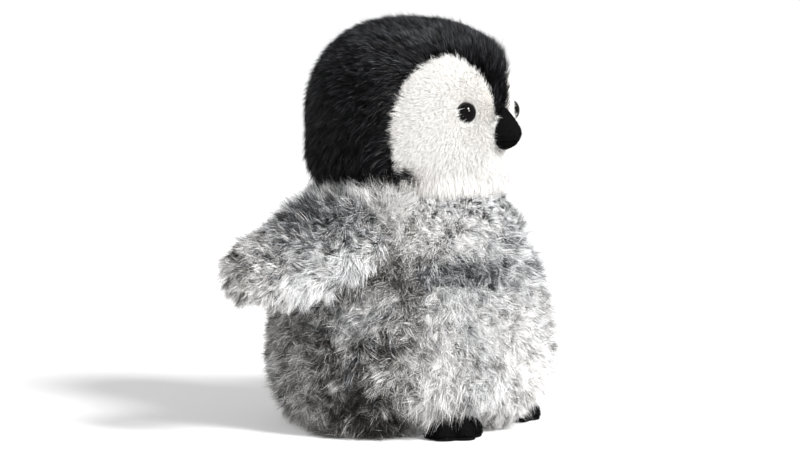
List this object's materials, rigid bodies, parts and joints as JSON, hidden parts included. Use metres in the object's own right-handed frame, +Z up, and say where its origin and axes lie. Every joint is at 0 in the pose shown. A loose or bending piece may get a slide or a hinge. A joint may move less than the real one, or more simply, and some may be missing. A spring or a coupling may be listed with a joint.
{
  "type": "plush penguin",
  "caption": "Sitting plush penguin chick with shaggy mottled body, black and white head, felt beak, two flippers and two small feet.",
  "frame": {"origin": "centre of the toy's outline on the surface it stands on", "axes": "+Z up, the penguin faces -Y, its left side is +X"},
  "size_m": [0.2522, 0.154, 0.233],
  "materials": {
    "grey_pile": "long shaggy mottled pile",
    "white_pile": "short warm white pile",
    "black_pile": "glossy medium black pile",
    "black_felt": "matte felt",
    "black_velour": "short velour",
    "black_thread": "sewing thread",
    "stuffing": "loose polyester filling",
    "lining": "plain woven cotton",
    "pellets": "small plastic beans",
    "eye_plastic": "polished very dark brown",
    "white_plastic": "moulded, plain"
  },
  "bodies": {
    "torso": {"belly_panel": "grey_pile", "back_panel_right": "grey_pile", "back_panel_left": "grey_pile", "base_panel": "grey_pile", "body_stuffing": "stuffing", "bean_bag_top": "lining", "bean_bag_bottom": "lining", "bean_pellets": "pellets", "back_closing_thread": "black_thread"},
    "neck": {"neck_thread": "black_thread"},
    "head": {"crown_gusset": "black_pile", "head_side_right": "black_pile", "head_side_left": "black_pile", "face_right": "white_pile", "face_left": "white_pile", "throat_panel": "white_pile", "head_stuffing": "stuffing", "eye_right": "eye_plastic", "eye_left": "eye_plastic", "eye_washer_right": "white_plastic", "eye_washer_left": "white_plastic", "beak_upper": "black_felt", "beak_lower": "black_felt", "beak_stuffing": "stuffing"},
    "flipper_right": {"flipper_outer_right": "grey_pile", "flipper_inner_right": "white_pile", "flipper_stuffing_right": "stuffing"},
    "foot_right": {"foot_upper_right": "black_velour", "foot_sole_right": "black_velour", "foot_stuffing_right": "stuffing", "toe_thread_inner_right": "black_thread", "toe_thread_outer_right": "black_thread"},
    "flipper_left": {"flipper_outer_left": "grey_pile", "flipper_inner_left": "white_pile", "flipper_stuffing_left": "stuffing"},
    "foot_left": {"foot_upper_left": "black_velour", "foot_sole_left": "black_velour", "foot_stuffing_left": "stuffing", "toe_thread_inner_left": "black_thread", "toe_thread_outer_left": "black_thread"}
  },
  "joints": [
    {"name": "head_turn", "type": "hinge", "parent": "torso", "child": "neck", "pos_m": [0, 0, 0.172], "axis": [0, 0, 1], "range_deg": [-30, 30], "stiffness_Nm_per_rad": 0.25},
    {"name": "head_nod", "type": "hinge", "parent": "neck", "child": "head", "pos_m": [0, 0, 0.172], "axis": [1, 0, 0], "range_deg": [-14, 14], "stiffness_Nm_per_rad": 0.35},
    {"name": "flipper_right_raise", "type": "hinge", "parent": "torso", "child": "flipper_right", "pos_m": [-0.0655, -0.013, 0.119], "axis": [0.2015, 0.5758, 0.7923], "range_deg": [-20, 55], "stiffness_Nm_per_rad": 0.12},
    {"name": "flipper_left_raise", "type": "hinge", "parent": "torso", "child": "flipper_left", "pos_m": [0.0655, -0.013, 0.119], "axis": [0.2015, -0.5758, -0.7923], "range_deg": [-20, 55], "stiffness_Nm_per_rad": 0.12},
    {"name": "foot_right_lift", "type": "hinge", "parent": "torso", "child": "foot_right", "pos_m": [-0.03437, -0.0334, 0], "axis": [-0.9397, 0.342, 0], "range_deg": [-10, 15], "stiffness_Nm_per_rad": 0.06},
    {"name": "foot_left_lift", "type": "hinge", "parent": "torso", "child": "foot_left", "pos_m": [0.03437, -0.0334, 0], "axis": [-0.9397, -0.342, 0], "range_deg": [-10, 15], "stiffness_Nm_per_rad": 0.06}
  ]
}
